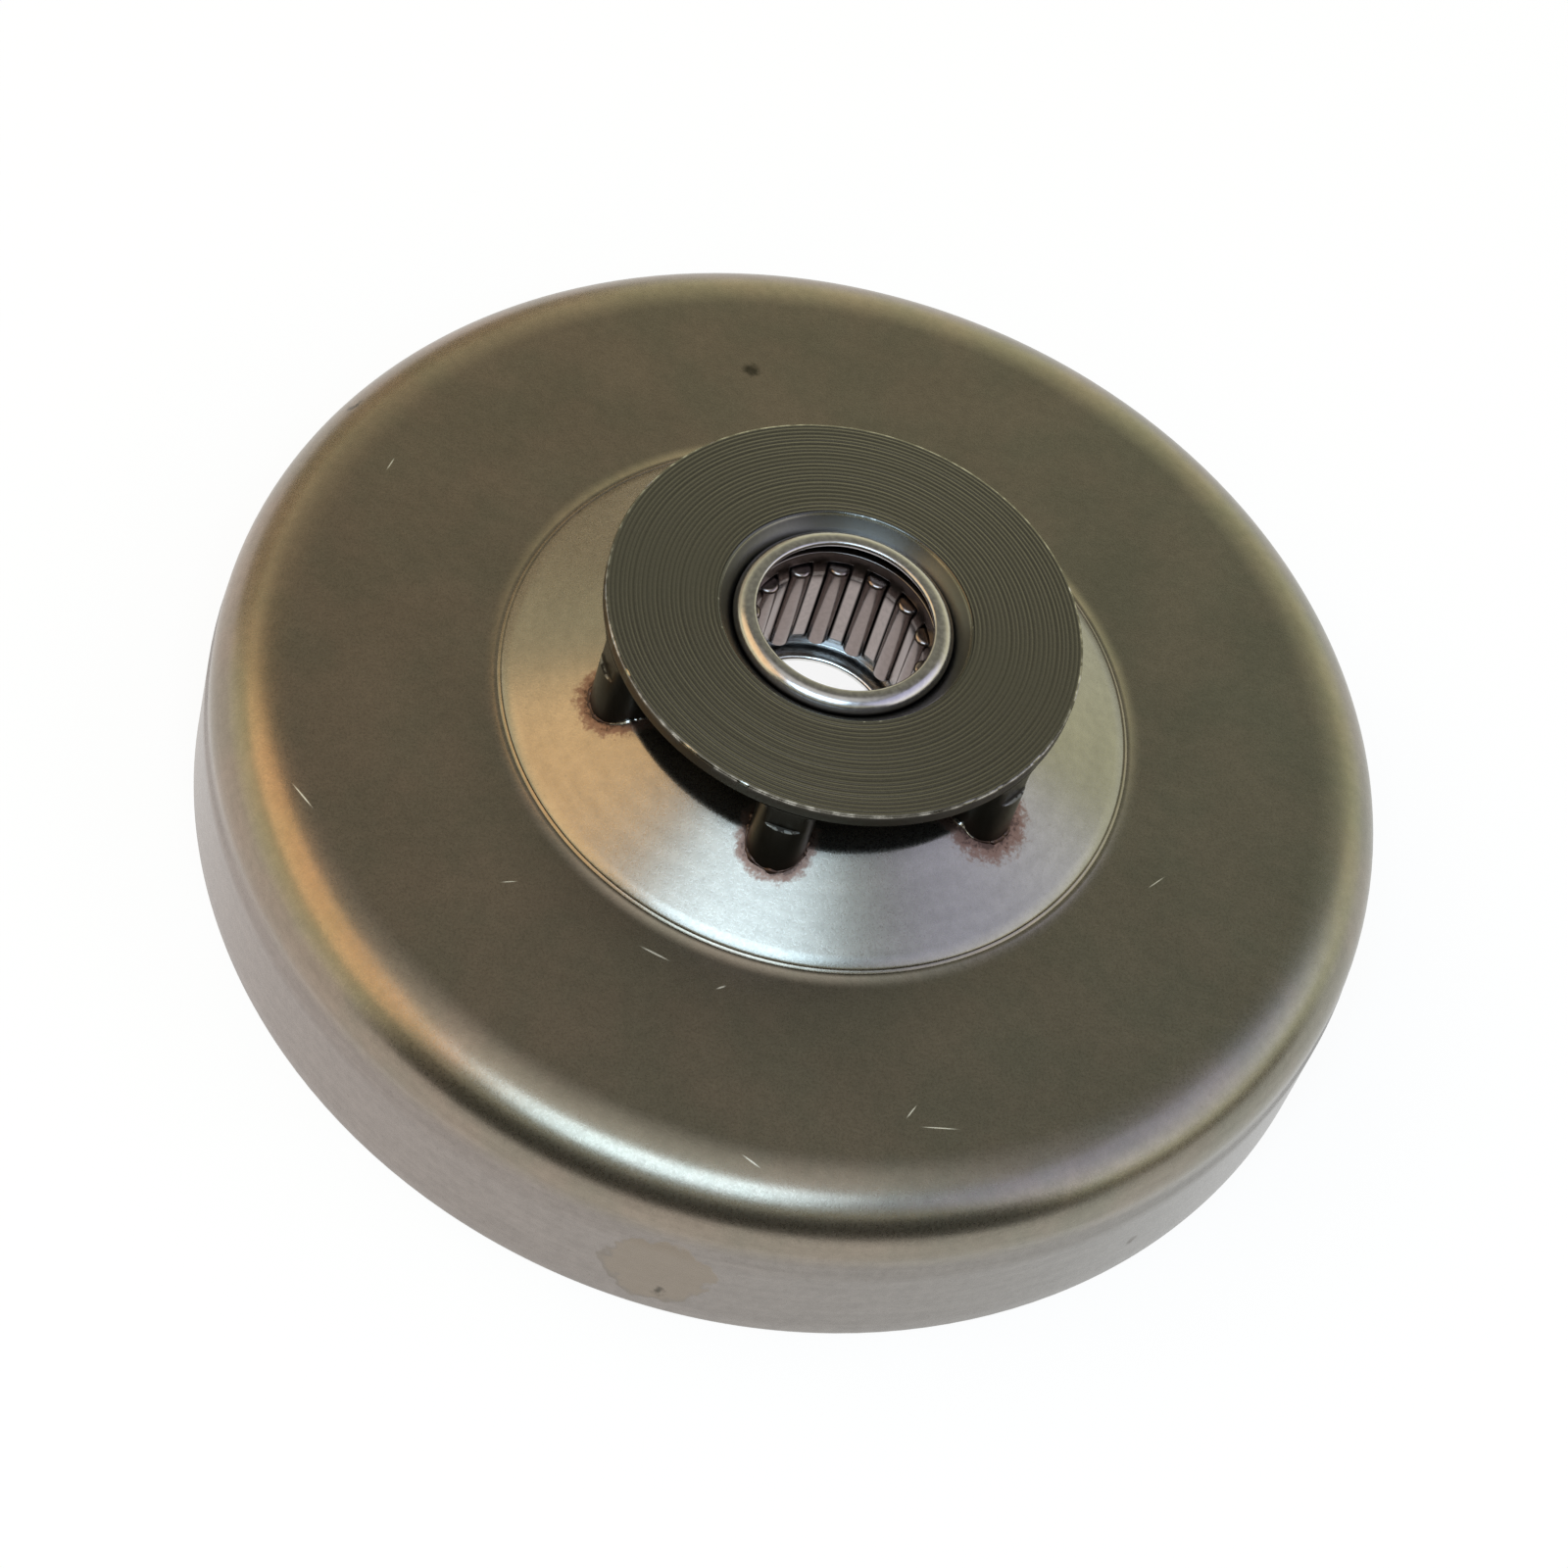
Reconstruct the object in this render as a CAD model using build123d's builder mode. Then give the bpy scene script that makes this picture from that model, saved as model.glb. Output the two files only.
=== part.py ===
from build123d import *
import os
from math import cos, radians, sin, tan

# Clutch drum with a chain sprocket and a caged needle bearing, in millimetres.
# The origin is the centre of the open rim, the axis is Z, and the sprocket is at the top.

# Drum: a cup pressed from one sheet, with a slightly larger band at its open rim
drum_outer_d = 76.0
drum_height = 13.1
sheet = 1.85
band_height = 8.0
band_step = 0.15
band_taper = 0.4
edge_bend_r = 4.1
rim_break = 0.35

# Raised cone in the middle of the drum's face
cone_foot_r = 20.65
cone_top_r = 13.55
cone_angle = 25.2
cone_foot_bend_r = 3.0
cone_top_bend_r = 1.0

# Sprocket: a star of teeth below a disc flange, on a hub that holds the bearing
tooth_count = 6
tooth_first_angle = -90.0
tooth_width = 3.7
tooth_tip_r = 15.35
tooth_tip_round = 1.7
gullet_r = 9.4
gullet_round = 1.8
star_bottom_z = 13.2
turned_bottom_z = 19.7
flange_d = 30.1
flange_thickness = 1.05
flange_top_z = 22.4
flange_edge_break = 0.12
hub_d = 18.6
hub_bottom_z = 9.6
hub_break = 0.5
bore_chamfer = 1.05
pierced_hole_clearance = 0.05

# Needle bearing for a ten millimetre crankshaft journal
shaft_d = 10.0
roller_count = 14
roller_first_angle = -1.2
roller_d = 1.5
roller_length = 7.5
roller_end_round = 0.25
roller_play = 0.04
cup_wall = 0.46
cup_length = 12.0
cup_recess = 0.1
cup_bend_r = 0.9
cup_lip_d = 11.2
cup_lower_lip_d = 10.3
cup_lip_flat = 0.2
cup_lip_round = 0.2
cup_seat_clearance = 0.02
cage_strip = 0.38
cage_play = 0.2
cage_end_play = 0.79
cage_drop = 0.2
cage_waist_depth = 0.45
cage_waist_length = 6.3
cage_ring_height = 0.4
pocket_side_play = 0.05
pocket_end_play = 0.1

# Sizes that follow from the ones above
drum_r = drum_outer_d / 2
wall_r = drum_r - band_step
friction_r = wall_r - sheet
cone_top_z = drum_height + (cone_foot_r - cone_top_r) * tan(radians(cone_angle))
flange_r = flange_d / 2
flange_bottom_z = flange_top_z - flange_thickness
raceway_r = shaft_d / 2 + roller_d + roller_play
cup_r = raceway_r + cup_wall
bore_r = cup_r + cup_seat_clearance
cup_top_z = flange_top_z - cup_recess
lip_bend_r = min(cup_bend_r, cup_r - max(cup_lip_d, cup_lower_lip_d) / 2 - cup_lip_flat)
lip_round = min(cup_lip_round, 0.45 * cup_wall)
tip_round = min(tooth_tip_round, 0.46 * tooth_width)
cup_bottom_z = cup_top_z - cup_length
bearing_mid_z = cup_top_z - cup_length / 2 - cage_drop
pitch_r = shaft_d / 2 + roller_d / 2 + roller_play / 2

os.makedirs("parts", exist_ok=True)


def star_outline(extra):
    """Outline of the sprocket's teeth seen along the axis, grown by extra on every side."""
    tip_r = tooth_tip_r + extra
    root_r = gullet_r + extra
    with BuildSketch() as outline:
        Circle(root_r)
        with PolarLocations(0, tooth_count, start_angle=tooth_first_angle):
            Rectangle(tip_r, tooth_width + 2 * extra, align=(Align.MIN, Align.CENTER))
        Circle(tip_r, mode=Mode.INTERSECT)
        corners = outline.vertices().sort_by_distance((0, 0, 0))
        fillet(corners[-2 * tooth_count:], tip_round + extra)
        corners = outline.vertices().sort_by_distance((0, 0, 0))
        fillet(corners[: 2 * tooth_count], gullet_round - extra)
    return outline.sketch


# Drum
with BuildPart() as drum:
    with BuildSketch(Plane.XZ) as drum_section:
        with BuildLine():
            FilletPolyline(
                (wall_r, 0),
                (wall_r, drum_height),
                (cone_foot_r, drum_height),
                (cone_top_r, cone_top_z),
                (0, cone_top_z),
                radius=[edge_bend_r, cone_foot_bend_r, cone_top_bend_r],
            )
            offset(amount=sheet, side=Side.LEFT)
        make_face()
        with BuildLine():
            Polyline(
                (friction_r, 0),
                (drum_r, 0),
                (drum_r, band_height - band_taper),
                (wall_r, band_height),
                (friction_r, band_height),
                close=True,
            )
        make_face()
        fillet(drum_section.vertices().group_by(Axis.Y)[0], rim_break)
    revolve(axis=Axis.Z)
    with BuildSketch(Plane.XY):
        add(star_outline(pierced_hole_clearance))
    extrude(amount=flange_top_z, mode=Mode.SUBTRACT)
drum.part.label = "drum"
export_step(drum.part, "parts/drum.step")

# Sprocket
with BuildPart() as sprocket:
    with BuildSketch(Plane.XY.offset(star_bottom_z)):
        add(star_outline(0))
    extrude(amount=flange_bottom_z - star_bottom_z)
    with BuildSketch(Plane.XY.offset(turned_bottom_z)):
        Circle(2 * flange_r)
        Circle(flange_r, mode=Mode.SUBTRACT)
    extrude(amount=flange_top_z - turned_bottom_z, mode=Mode.SUBTRACT)
    with BuildSketch(Plane.XY.offset(flange_bottom_z)):
        Circle(flange_r)
    extrude(amount=flange_thickness)
    with BuildSketch(Plane.XY.offset(hub_bottom_z)):
        Circle(hub_d / 2)
    extrude(amount=flange_top_z - hub_bottom_z)
    with BuildSketch(Plane.XY.offset(hub_bottom_z)):
        Circle(bore_r)
    extrude(amount=flange_top_z - hub_bottom_z, mode=Mode.SUBTRACT)
    top_edges = sprocket.edges().filter_by(GeomType.CIRCLE).group_by(Axis.Z)[-1].sort_by(SortBy.RADIUS)
    chamfer(top_edges[0], bore_chamfer)
    top_edges = sprocket.edges().filter_by(GeomType.CIRCLE).group_by(Axis.Z)[-1].sort_by(SortBy.RADIUS)
    chamfer(top_edges[-1], flange_edge_break)
    hub_edges = sprocket.edges().filter_by(GeomType.CIRCLE).group_by(Axis.Z)[0]
    chamfer(hub_edges, hub_break)
sprocket.part.label = "sprocket"
export_step(sprocket.part, "parts/sprocket.step")

# Bearing cup: a thin drawn shell with a lip at each end, the lower one reaching further in
with BuildPart() as bearing_cup:
    with BuildSketch(Plane.XZ) as cup_section:
        with BuildLine():
            FilletPolyline(
                (cup_lower_lip_d / 2, cup_bottom_z),
                (cup_r, cup_bottom_z),
                (cup_r, cup_top_z),
                (cup_lip_d / 2, cup_top_z),
                radius=lip_bend_r,
            )
            offset(amount=cup_wall, side=Side.LEFT)
        make_face()
        fillet(cup_section.vertices().sort_by(Axis.X)[:4], lip_round)
    revolve(axis=Axis.Z)
bearing_cup.part.label = "bearing_cup"
export_step(bearing_cup.part, "parts/bearing_cup.step")

# Bearing cage: a strip ring with a waist, pierced by a pocket for each roller
cage_r = raceway_r - cage_play
cage_half_length = cup_length / 2 - cup_wall - cage_end_play
pocket_length = roller_length + 2 * pocket_end_play
pocket_width = roller_d + 2 * pocket_side_play
with BuildPart() as bearing_cage:
    with BuildSketch(Plane.XZ):
        with BuildLine():
            Polyline(
                (cage_r, bearing_mid_z - cage_half_length),
                (cage_r, bearing_mid_z - cage_half_length + cage_ring_height),
                (cage_r - cage_waist_depth, bearing_mid_z - cage_waist_length / 2),
                (cage_r - cage_waist_depth, bearing_mid_z + cage_waist_length / 2),
                (cage_r, bearing_mid_z + cage_half_length - cage_ring_height),
                (cage_r, bearing_mid_z + cage_half_length),
            )
            offset(amount=cage_strip, side=Side.LEFT, kind=Kind.INTERSECTION)
        make_face()
    revolve(axis=Axis.Z)
    with BuildSketch(Plane.XY.offset(bearing_mid_z - pocket_length / 2)):
        with PolarLocations(0, roller_count, start_angle=roller_first_angle):
            Rectangle(raceway_r, pocket_width, align=(Align.MIN, Align.CENTER))
    extrude(amount=pocket_length, mode=Mode.SUBTRACT)
bearing_cage.part.label = "bearing_cage"
export_step(bearing_cage.part, "parts/bearing_cage.step")

# Needle rollers, one in each pocket
for number in range(roller_count):
    angle = radians(roller_first_angle + number * 360 / roller_count)
    centre = (pitch_r * cos(angle), pitch_r * sin(angle), bearing_mid_z - roller_length / 2)
    with BuildPart() as roller:
        with BuildSketch(Plane(origin=centre)):
            Circle(roller_d / 2)
        extrude(amount=roller_length)
        fillet(roller.edges().filter_by(GeomType.CIRCLE), roller_end_round)
    roller.part.label = f"needle_roller_{number + 1:02d}"
    export_step(roller.part, f"parts/{roller.part.label}.step")
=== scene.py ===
# %% [markdown]
# # A clutch drum with its chain sprocket
# The real part is a cup pressed from steel sheet, a dark sprocket brazed into it and a small needle
# bearing pressed into the sprocket. All of it is metal, so the lesson is about two things: clean round
# meshes that hold a highlight, and metals whose colour comes from oxide, heat and wear.
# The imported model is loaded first, because every mesh below is built in its frame.

# %% Load the frame
import math

import bmesh
import bpy
import numpy as np
from mathutils import Matrix, Vector


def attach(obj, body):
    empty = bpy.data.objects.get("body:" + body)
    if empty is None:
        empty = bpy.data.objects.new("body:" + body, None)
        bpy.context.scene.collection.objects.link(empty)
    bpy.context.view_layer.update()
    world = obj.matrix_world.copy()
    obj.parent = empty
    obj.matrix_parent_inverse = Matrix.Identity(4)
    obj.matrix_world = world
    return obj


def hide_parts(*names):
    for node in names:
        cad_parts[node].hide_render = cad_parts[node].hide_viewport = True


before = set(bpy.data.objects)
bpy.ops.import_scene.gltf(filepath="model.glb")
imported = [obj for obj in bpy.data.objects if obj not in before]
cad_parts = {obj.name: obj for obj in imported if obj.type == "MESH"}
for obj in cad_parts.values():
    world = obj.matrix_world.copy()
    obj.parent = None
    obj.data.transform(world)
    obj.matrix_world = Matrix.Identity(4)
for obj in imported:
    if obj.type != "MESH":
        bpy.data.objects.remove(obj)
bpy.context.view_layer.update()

MM = 0.001

# %% [markdown]
# ## The camera
# The part stands on its open rim and the camera looks down on it from the front. A long lens keeps
# the circles close to true ellipses. The picture is also rolled, so the axis leans to the right. A
# camera's matrix has its right, up and back directions as columns, so the roll is written there.

# %% Camera
CAMERA_PLACE = Vector((-7.37, -168.74, 230.35)) * MM
CAMERA_AIM = Vector((-0.02, 2.82, 0.0)) * MM
CAMERA_ROLL = math.radians(19.52)
CAMERA_LENS = 99.82
CAMERA_CLIP = (10 * MM, 100.0)


def add_object(name, data):
    """A new object for a mesh, a lamp or a camera, linked into the scene."""
    made = bpy.data.objects.new(name, data)
    bpy.context.collection.objects.link(made)
    return made


def add_mesh(name, points, faces, edges=(), material=None):
    """A mesh object from plain lists."""
    mesh = bpy.data.meshes.new(name)
    mesh.from_pydata(points, edges, faces)
    if material is not None:
        mesh.materials.append(material)
    return add_object(name, mesh)


def rolled_camera(place, aim, roll, lens):
    """A camera at place that looks at aim, with the upright direction leaning right by roll."""
    forward = (aim - place).normalized()
    level_right = forward.cross(Vector((0, 0, 1))).normalized()
    level_up = level_right.cross(forward)
    right = level_right * math.cos(roll) + level_up * math.sin(roll)
    up = level_up * math.cos(roll) - level_right * math.sin(roll)
    data = bpy.data.cameras.new("camera")
    data.lens = lens
    data.clip_start, data.clip_end = CAMERA_CLIP
    camera = add_object("camera", data)
    turn = Matrix((right, up, -forward)).transposed().to_4x4()
    camera.matrix_world = Matrix.Translation(place) @ turn
    return camera


scene = bpy.context.scene
scene.camera = rolled_camera(CAMERA_PLACE, CAMERA_AIM, CAMERA_ROLL, CAMERA_LENS)
scene.view_settings.view_transform = "Standard"
print("camera is", round((CAMERA_AIM - CAMERA_PLACE).length / MM), "mm from its aim")

# %% [markdown]
# ## The studio
# Satin metal shows little of its own: it shows the room. So the room is built with care. A cool soft
# box hangs above and behind the camera, a warm card stands on the left and a faintly violet one on
# the right. Each lamp is stated by its radiance, the brightness that a mirror would show, and the
# power that Blender asks for follows from the lamp's area.

# %% Studio light
POWER_PER_RADIANCE = 4.0
OBJECT_MIDDLE = Vector((0, 0, 11 * MM))
# Name, azimuth, elevation, distance, width, height, colour and radiance
SOFT_BOXES = (
    ("key_box", -92, 61, 0.55, 0.34, 0.24, (0.57, 0.79, 1.0), 4.9),
    ("left_card", -174, 50, 0.60, 0.56, 0.36, (1.0, 0.66, 0.32), 1.18),
    ("right_card", 0, 42, 0.60, 0.64, 0.44, (0.62, 0.65, 1.0), 0.8),
)


def direction(azimuth, elevation):
    """Unit vector towards an azimuth from +X and an elevation above the floor, in degrees."""
    a = math.radians(azimuth)
    e = math.radians(elevation)
    return Vector((math.cos(a) * math.cos(e), math.sin(a) * math.cos(e), math.sin(e)))


def soft_box(name, azimuth, elevation, distance, width, height, colour, radiance):
    """A rectangular lamp on a sphere round the object, turned to its middle."""
    data = bpy.data.lights.new(name, "AREA")
    data.shape = "RECTANGLE"
    data.size = width
    data.size_y = height
    data.color = colour
    data.energy = radiance * POWER_PER_RADIANCE * width * height
    lamp = add_object(name, data)
    towards = direction(azimuth, elevation)
    lamp.location = OBJECT_MIDDLE + towards * distance
    lamp.rotation_mode = "QUATERNION"
    lamp.rotation_quaternion = towards.to_track_quat("Z", "Y")


for box in SOFT_BOXES:
    soft_box(*box)
print(len(SOFT_BOXES), "soft boxes")

# %% [markdown]
# ## Nodes
# The sky, the floor, every metal and several shapes are made of nodes. This class wraps a node tree.
# Each of its methods adds a node, feeds the node's inputs with links or plain values, and gives back
# the result, so a chain of nodes reads like a formula.

# %% Node trees
class Nodes:
    """A node tree with short ways to add nodes and feed them."""

    def __init__(self, tree):
        self.tree = tree

    def feed(self, socket, value):
        """Links a result to an input, or sets the input to a plain value."""
        if isinstance(value, bpy.types.NodeSocket):
            self.tree.links.new(value, socket)
        else:
            socket.default_value = value

    def add(self, kind, inputs=(), **settings):
        """A node with its properties set and its inputs fed, each by name or by number."""
        made = self.tree.nodes.new(kind)
        for name, value in settings.items():
            setattr(made, name, value)
        for key, value in dict(inputs).items():
            self.feed(made.inputs[key], value)
        return made

    def math(self, operation, *values):
        """Result of a Math node."""
        return self.add("ShaderNodeMath", enumerate(values), operation=operation).outputs[0]

    def both(self, first, second):
        """Share of the points that lie inside two shares at once."""
        return self.math("MULTIPLY", first, second)

    def vector(self, operation, *values, scale=None):
        """Result of a Vector Math node: a number for a length or a dot product, else a vector."""
        made = self.add("ShaderNodeVectorMath", enumerate(values), operation=operation)
        if scale is not None:
            self.feed(made.inputs["Scale"], scale)
        return made.outputs["Value" if operation in ("LENGTH", "DOT_PRODUCT") else "Vector"]

    def split(self, place):
        """The X, Y and Z of a vector."""
        return self.add("ShaderNodeSeparateXYZ", {0: place}).outputs

    def noise(self, place, scale, detail=2.0, roughness=0.5):
        """Outputs of a noise: a value between zero and one, and a colour of three such values."""
        look = {"Vector": place, "Scale": scale, "Detail": detail, "Roughness": roughness}
        return self.add("ShaderNodeTexNoise", look).outputs

    def remap(self, value, low, high, new_low=0.0, new_high=1.0, smooth=True):
        """Maps a value from one range to another and clamps it."""
        ends = {"Value": value, "From Min": low, "From Max": high, "To Min": new_low, "To Max": new_high}
        kind = "SMOOTHSTEP" if smooth else "LINEAR"
        return self.add("ShaderNodeMapRange", ends, interpolation_type=kind).outputs["Result"]

    def blend(self, share, *colours):
        """Mixes two colours, each a result or three numbers, by a share."""
        first, second = ((*c, 1) if isinstance(c, tuple) else c for c in colours)
        return self.add("ShaderNodeMix", {"Factor": share, 6: first, 7: second}, data_type="RGBA").outputs[2]


# %% [markdown]
# ## Sky, floor and cloths
# The sky is a colour ramp on the height of the view direction: a white horizon and a dim ceiling.
# The floor is white card. It takes the part's shadow as a diffuse surface, and for rays from the
# camera, from metal and through gaps it also glows, so the page behind the part stays white and the
# metal shows that white too. A black cloth behind the camera draws the dark line under the rounded
# edge, a low brown one carries that line on to the right, and a grey one at the back left keeps that
# side calm. Only reflections see the cloths.

# %% Sky, floor and cloths
SKY = (
    (0.00, (1.0, 1.0, 0.98)),
    (0.50, (1.12, 1.15, 1.02)),
    (0.63, (1.10, 1.10, 0.82)),
    (0.71, (1.00, 0.99, 0.66)),
    (0.81, (0.54, 0.54, 0.40)),
    (0.87, (0.29, 0.29, 0.225)),
    (0.92, (0.13, 0.13, 0.105)),
    (0.96, (0.31, 0.31, 0.29)),
    (0.985, (0.95, 0.97, 0.93)),
)
PAPER_COLOUR = (0.97, 0.97, 0.97, 1)
FLOOR_REACH = 8.0
FLOOR_GLOW_SHARE = 0.9
CLOTH_REACH = 0.5
CLOTH_COLUMNS = 25


def studio_sky():
    """World whose brightness depends on the height of the direction looked in."""
    world = bpy.data.worlds.new("studio_sky")
    world.use_nodes = True
    scene.world = world
    nodes = Nodes(world.node_tree)
    towards = nodes.add("ShaderNodeTexCoord").outputs["Generated"]
    lift = nodes.remap(nodes.split(towards)["Z"], -1.0, 1.0, smooth=False)
    ramp = nodes.add("ShaderNodeValToRGB", {0: lift})
    stops = ramp.color_ramp.elements
    while len(stops) < len(SKY):
        stops.new(0.5)
    for stop, (height, colour) in zip(stops, SKY):
        stop.position = height
        stop.color = (*colour, 1.0)
    nodes.feed(world.node_tree.nodes["Background"].inputs["Color"], ramp.outputs["Color"])


def white_card():
    """Floor material: diffuse for the shadow, and a white glow for the rays that show a background."""
    card = bpy.data.materials.new("white_card")
    card.use_nodes = True
    card.node_tree.nodes.clear()
    nodes = Nodes(card.node_tree)
    rays = nodes.add("ShaderNodeLightPath").outputs
    seen = nodes.math("MAXIMUM", rays["Is Camera Ray"], rays["Is Glossy Ray"])
    shown = nodes.math("MAXIMUM", seen, rays["Is Transmission Ray"])
    share = nodes.math("MULTIPLY", shown, FLOOR_GLOW_SHARE)
    paper = nodes.add("ShaderNodeBsdfDiffuse", {"Color": PAPER_COLOUR}).outputs[0]
    glow = nodes.add("ShaderNodeEmission").outputs[0]
    mix = nodes.add("ShaderNodeMixShader", {0: share, 1: paper, 2: glow})
    nodes.add("ShaderNodeOutputMaterial", {"Surface": mix.outputs[0]})
    return card


def cloth(name, colour, start, end, near, top):
    """A cloth on the floor from near outwards and up to top, between two azimuths in degrees."""
    matt = bpy.data.materials.new(name)
    matt.use_nodes = True
    shader = matt.node_tree.nodes["Principled BSDF"]
    shader.inputs["Base Color"].default_value = (*colour, 1)
    shader.inputs["Roughness"].default_value = 1.0
    points = []
    for azimuth in np.linspace(start, end, CLOTH_COLUMNS):
        out = direction(azimuth, 0)
        points += [(out.x * near, out.y * near, MM)]
        points += [(out.x * CLOTH_REACH, out.y * CLOTH_REACH, z) for z in (MM, top)]
    faces = []
    for k in range(0, 3 * (CLOTH_COLUMNS - 1), 3):
        faces += [(k, k + 3, k + 4, k + 1), (k + 1, k + 4, k + 5, k + 2)]
    made = add_mesh(name, points, faces, material=matt)
    made.visible_camera = False
    made.visible_diffuse = False
    made.visible_shadow = False
    return made


studio_sky()
corners = [(x * FLOOR_REACH, y * FLOOR_REACH, 0) for x, y in ((-1, -1), (1, -1), (1, 1), (-1, 1))]
floor = add_mesh("floor", corners, [(0, 1, 2, 3)], material=white_card())
black = cloth("black_cloth", (0.045, 0.042, 0.036), -139, -28, 0.13, 0.32)
brown = cloth("brown_cloth", (0.22, 0.18, 0.14), -28, 16, 0.35, 0.12)
grey = cloth("grey_cloth", (0.50, 0.43, 0.33), 106, 158, 0.4, 0.26)
print("floor reaches", FLOOR_REACH, "m each way")

# %% [markdown]
# ## The outline of the star
# The sprocket's teeth and the hole that was pierced for them in the drum share one outline. It is
# drawn once for half a tooth, from the middle of the tip to the middle of the gullet, as arcs and a
# straight flank, then mirrored and turned round the axis. Both meshes below use its points as their
# columns, so the two pieces fit without a Boolean.

# %% Star outline
TOOTH_COUNT = 6
TOOTH_FIRST_ANGLE = math.radians(-90)
TOOTH_HALF_WIDTH = 1.85 * MM
TOOTH_TIP_R = 15.35 * MM
TOOTH_TIP_ROUND = 1.7 * MM
GULLET_R = 9.4 * MM
GULLET_ROUND = 1.8 * MM
TIP_STEPS = 2
TIP_ROUND_STEPS = 11
FLANK_STEPS = 7
GULLET_ROUND_STEPS = 9
GULLET_STEPS = 5


def arc(centre, radius, start, end, steps):
    """Points on an arc, without its last one."""
    angles = np.linspace(start, end, steps, endpoint=False)
    return np.stack([centre[0] + radius * np.cos(angles), centre[1] + radius * np.sin(angles)], 1)


def star_points(extra):
    """The star's outline, grown by extra, counter-clockwise from the middle of a gullet."""
    half = TOOTH_HALF_WIDTH + extra
    tip_r = TOOTH_TIP_R + extra
    tip_round = TOOTH_TIP_ROUND + extra
    root_r = GULLET_R + extra
    root_round = GULLET_ROUND - extra
    sector = math.pi / TOOTH_COUNT
    tip_y = half - tip_round
    tip_x = math.sqrt((tip_r - tip_round) ** 2 - tip_y**2)
    root_y = half + root_round
    root_x = math.sqrt((root_r + root_round) ** 2 - root_y**2)
    tip_turn = math.atan2(tip_y, tip_x)
    root_turn = math.atan2(root_y, root_x)
    flank_x = np.linspace(tip_x, root_x, FLANK_STEPS, endpoint=False)
    upper = np.concatenate(
        [
            arc((0, 0), tip_r, 0, tip_turn, TIP_STEPS),
            arc((tip_x, tip_y), tip_round, tip_turn, math.pi / 2, TIP_ROUND_STEPS),
            np.stack([flank_x, np.full(FLANK_STEPS, half)], 1),
            arc((root_x, root_y), root_round, -math.pi / 2, root_turn - math.pi, GULLET_ROUND_STEPS),
            arc((0, 0), root_r, root_turn, sector, GULLET_STEPS),
        ]
    )
    lower = upper[:0:-1] * (1, -1)
    gullet = root_r * np.array([[math.cos(sector), -math.sin(sector)]])
    tooth = np.concatenate([gullet, lower, upper])
    turns = TOOTH_FIRST_ANGLE + np.arange(TOOTH_COUNT) * 2 * sector
    return np.concatenate([tooth @ [[math.cos(t), math.sin(t)], [-math.sin(t), math.cos(t)]] for t in turns])


star = star_points(0.0)
column_turn = np.arctan2(star[:, 1], star[:, 0])
star_r = np.hypot(star[:, 0], star[:, 1])
print("star outline:", len(star), "points, tip", round(star_r.max() / MM, 2), "mm")

# %% [markdown]
# ## Skinning rings
# A round piece is a stack of rings. Each ring has one point for every column of the star, so any two
# rings can be joined by a band of quads. Where a ring is clipped by the star it falls on the ring
# beside it, and merging by distance removes the empty faces. The normals are then recalculated, and
# edges that turn sharply are marked so that flat faces stay flat beside a bend.

# %% Ring skin
SHARP_TURN = math.radians(32)
SKIN_MERGE = 0.002 * MM


def ring(radius, height):
    """Points of one ring, from millimetres: numbers, or one value for each column."""
    radius = np.broadcast_to(radius * MM, column_turn.shape)
    height = np.broadcast_to(height * MM, column_turn.shape)
    return np.stack([radius * np.cos(column_turn), radius * np.sin(column_turn), height], 1)


def finish_mesh(mesh, merge):
    """Merges doubles, points the faces outwards and sets the shading."""
    work = bmesh.new()
    work.from_mesh(mesh)
    bmesh.ops.remove_doubles(work, verts=work.verts, dist=merge)
    bmesh.ops.dissolve_degenerate(work, edges=work.edges, dist=merge)
    bmesh.ops.recalc_face_normals(work, faces=work.faces)
    work.to_mesh(mesh)
    work.free()
    mesh.shade_smooth()
    mesh.set_sharp_from_angle(angle=SHARP_TURN)


def skin(name, rings):
    """A closed mesh of bands between the rings, with the last ring joined to the first."""
    count = len(column_turn)
    rows = len(rings)
    faces = []
    for row in range(rows):
        below = row * count
        above = ((row + 1) % rows) * count
        for column in range(count):
            beside = (column + 1) % count
            faces.append((below + column, below + beside, above + beside, above + column))
    piece = add_mesh(name, np.concatenate(rings).tolist(), faces)
    finish_mesh(piece.data, SKIN_MERGE)
    print(name, "has", len(piece.data.polygons), "faces")
    return piece


def section_arc(centre_r, centre_z, radius, start, end, steps):
    """Points of an arc in a lathe section, both ends included, angles in degrees."""
    angles = np.radians(np.linspace(start, end, steps + 1))
    return [(centre_r + radius * math.cos(a), centre_z + radius * math.sin(a)) for a in angles]


def straight(start, end, steps):
    """Points between two section points, both ends left out."""
    shares = np.linspace(0, 1, steps + 2)[1:-1]
    return [(start[0] + (end[0] - start[0]) * s, start[1] + (end[1] - start[1]) * s) for s in shares]


# %% [markdown]
# ## The drum
# The cup was pressed from one sheet: a flat face, a bend into the wall that starts softly, a band at
# the rim that is a hair larger, and a cone coined up in the middle. The coining left two fine lines
# at the cone's foot. One section says all of that, in millimetres.

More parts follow.
